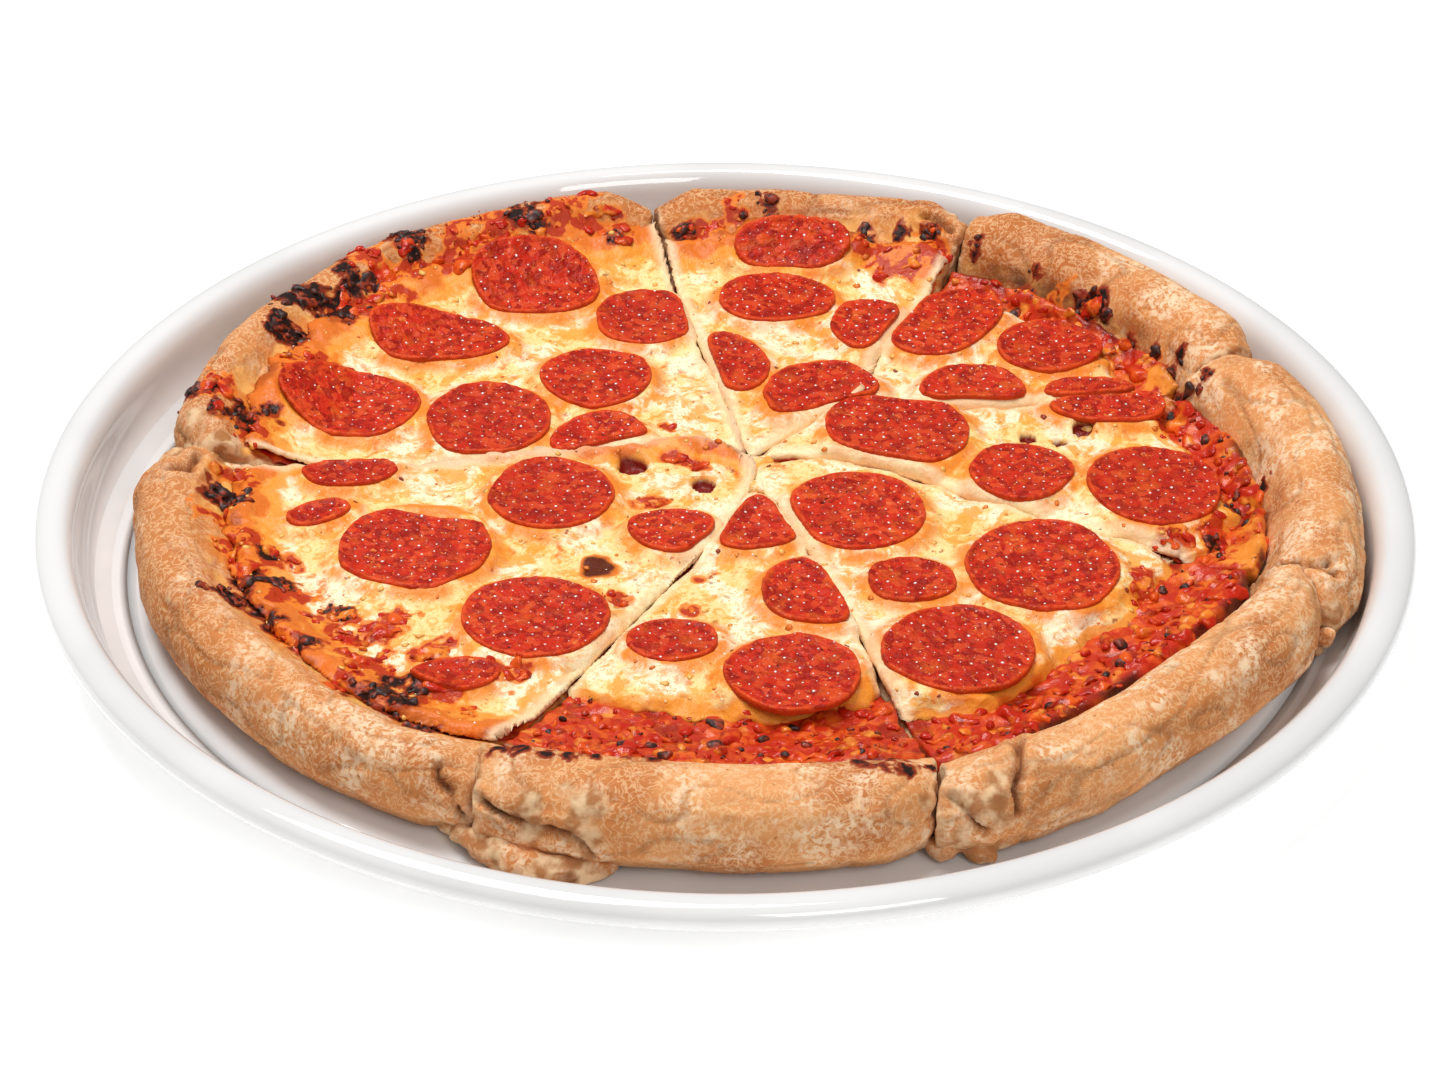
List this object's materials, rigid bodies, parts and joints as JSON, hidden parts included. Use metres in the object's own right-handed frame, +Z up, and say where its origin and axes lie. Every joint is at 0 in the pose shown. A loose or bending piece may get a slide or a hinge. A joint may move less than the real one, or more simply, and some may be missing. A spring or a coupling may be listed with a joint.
{
  "type": "pepperoni pizza in a shallow dish",
  "caption": "Thick-crust pepperoni pizza, cut into wedge slices and still whole in shape, in the round shallow glazed dish it is served in.",
  "frame": {"origin": "middle of the dish's foot, on the surface that it stands on", "axes": "+Z up; -Y towards the viewer of the picture; +X to the viewer's right"},
  "size_m": [0.38, 0.38, 0.0339],
  "materials": {
    "glaze": "white gloss glaze",
    "dough": "baked dough, browned and floury",
    "sauce": "cooked tomato sauce, moist",
    "cheese": "melted cheese, browned in spots",
    "pepperoni": "oily sliced sausage"
  },
  "bodies": {
    "root": {"dish": "glaze", "dough_a": "dough", "dough_b": "dough", "dough_c": "dough", "dough_d": "dough", "dough_e": "dough", "dough_f": "dough", "dough_g": "dough", "sauce_a": "sauce", "sauce_b": "sauce", "sauce_c": "sauce", "sauce_d": "sauce", "sauce_e": "sauce", "sauce_f": "sauce", "sauce_g": "sauce", "cheese_a": "cheese", "cheese_b": "cheese", "cheese_c": "cheese", "cheese_d": "cheese", "cheese_e": "cheese", "cheese_f": "cheese", "cheese_g": "cheese", "pepperoni_01": "pepperoni", "pepperoni_02": "pepperoni", "pepperoni_03": "pepperoni", "pepperoni_04": "pepperoni", "pepperoni_05": "pepperoni", "pepperoni_06": "pepperoni", "pepperoni_07": "pepperoni", "pepperoni_08": "pepperoni", "pepperoni_09": "pepperoni", "pepperoni_10": "pepperoni", "pepperoni_11": "pepperoni", "pepperoni_12": "pepperoni", "pepperoni_13": "pepperoni", "pepperoni_14": "pepperoni", "pepperoni_15": "pepperoni", "pepperoni_16": "pepperoni", "pepperoni_17": "pepperoni", "pepperoni_18": "pepperoni", "pepperoni_19": "pepperoni", "pepperoni_20": "pepperoni", "pepperoni_21": "pepperoni", "pepperoni_22": "pepperoni", "pepperoni_23": "pepperoni", "pepperoni_24": "pepperoni", "pepperoni_25": "pepperoni", "pepperoni_26": "pepperoni", "pepperoni_27": "pepperoni", "pepperoni_28": "pepperoni", "pepperoni_29": "pepperoni", "pepperoni_30": "pepperoni", "pepperoni_31": "pepperoni", "pepperoni_32": "pepperoni", "pepperoni_33": "pepperoni", "pepperoni_34": "pepperoni", "pepperoni_35": "pepperoni"}
  },
  "joints": []
}
